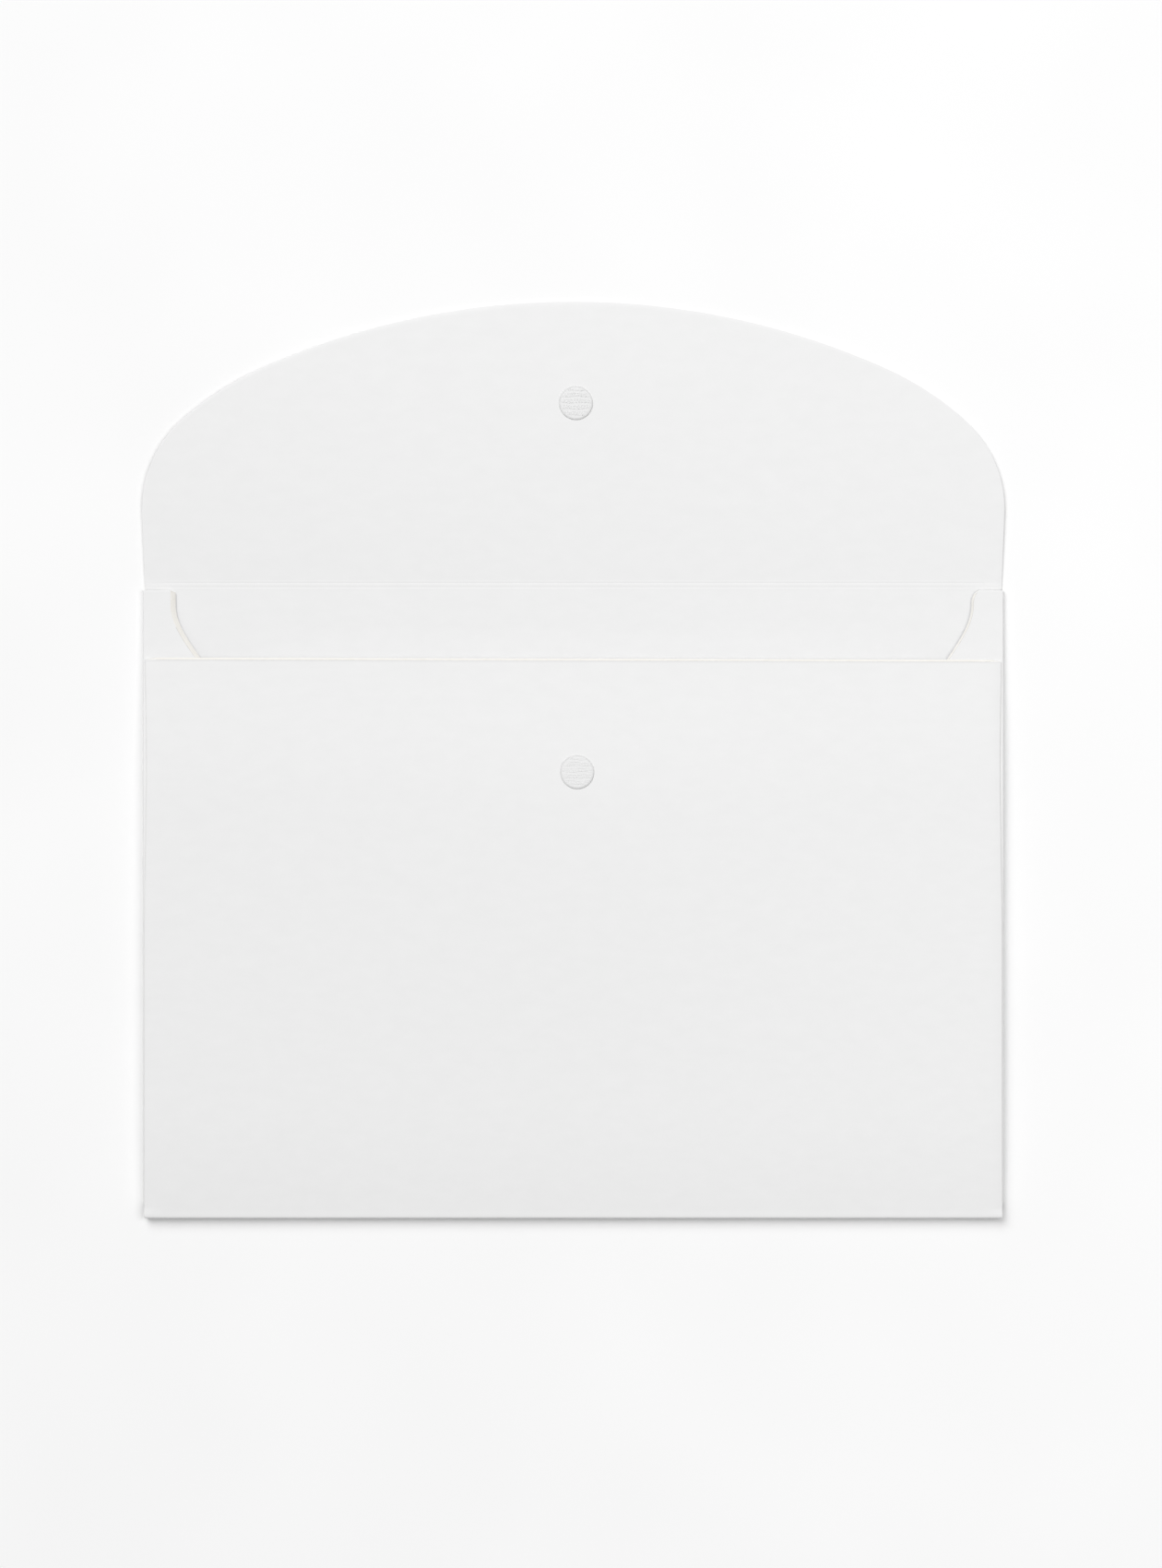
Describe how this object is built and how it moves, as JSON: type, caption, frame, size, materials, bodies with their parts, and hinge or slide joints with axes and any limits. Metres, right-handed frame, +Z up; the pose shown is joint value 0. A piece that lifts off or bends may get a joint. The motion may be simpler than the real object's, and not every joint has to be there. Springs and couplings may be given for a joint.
{
  "type": "portfolio case",
  "caption": "Flat folded-board portfolio case with a shallow glued pocket and a long round-ended flap that a hook-and-loop dot holds shut.",
  "frame": {"origin": "middle of the back panel's underside, on the surface that the case lies on", "axes": "+X across the case, +Y from the pocket's closed end towards the open flap, +Z up through the sheet, from the back towards the front"},
  "size_m": [0.3358, 0.3569, 0.0077],
  "materials": {
    "back_board": "coated white board, satin",
    "end_fold_board": "coated white board, satin",
    "left_side_fold_board": "coated white board, satin",
    "right_side_fold_board": "coated white board, satin",
    "left_glue_flap_board": "coated white board, satin",
    "right_glue_flap_board": "coated white board, satin",
    "left_glue_strip_glue": "clear glue",
    "right_glue_strip_glue": "clear glue",
    "front_board": "coated white board, satin",
    "loop_adhesive": "clear glue",
    "loop_nylon": "woven nylon, matt",
    "spine_board": "coated white board, satin",
    "flap_board": "coated white board, satin",
    "hook_adhesive": "clear glue",
    "hook_nylon": "woven nylon, matt"
  },
  "bodies": {
    "case": {"back_panel": "back_board", "end_fold": "end_fold_board", "left_side_fold": "left_side_fold_board", "right_side_fold": "right_side_fold_board", "left_glue_flap": "left_glue_flap_board", "right_glue_flap": "right_glue_flap_board", "left_glue_strip": "left_glue_strip_glue", "right_glue_strip": "right_glue_strip_glue", "front_panel": "front_board", "loop_backing": "loop_adhesive", "loop_disc": "loop_nylon"},
    "spine": {"spine_strip": "spine_board"},
    "flap": {"top_flap": "flap_board", "hook_backing": "hook_adhesive", "hook_disc": "hook_nylon"}
  },
  "joints": [
    {"name": "spine_crease", "type": "hinge", "parent": "case", "child": "spine", "pos_m": [0, 0.1225, 0.0003], "axis": [1, 0, 0], "range_deg": [0, 87]},
    {"name": "flap_crease", "type": "hinge", "parent": "spine", "child": "flap", "pos_m": [0, 0.1257, 0.0003], "axis": [1, 0, 0], "range_deg": [0, 87]}
  ],
  "couplings": [
    {"joint": "spine_crease", "follows": "flap_crease", "ratio": 1}
  ]
}
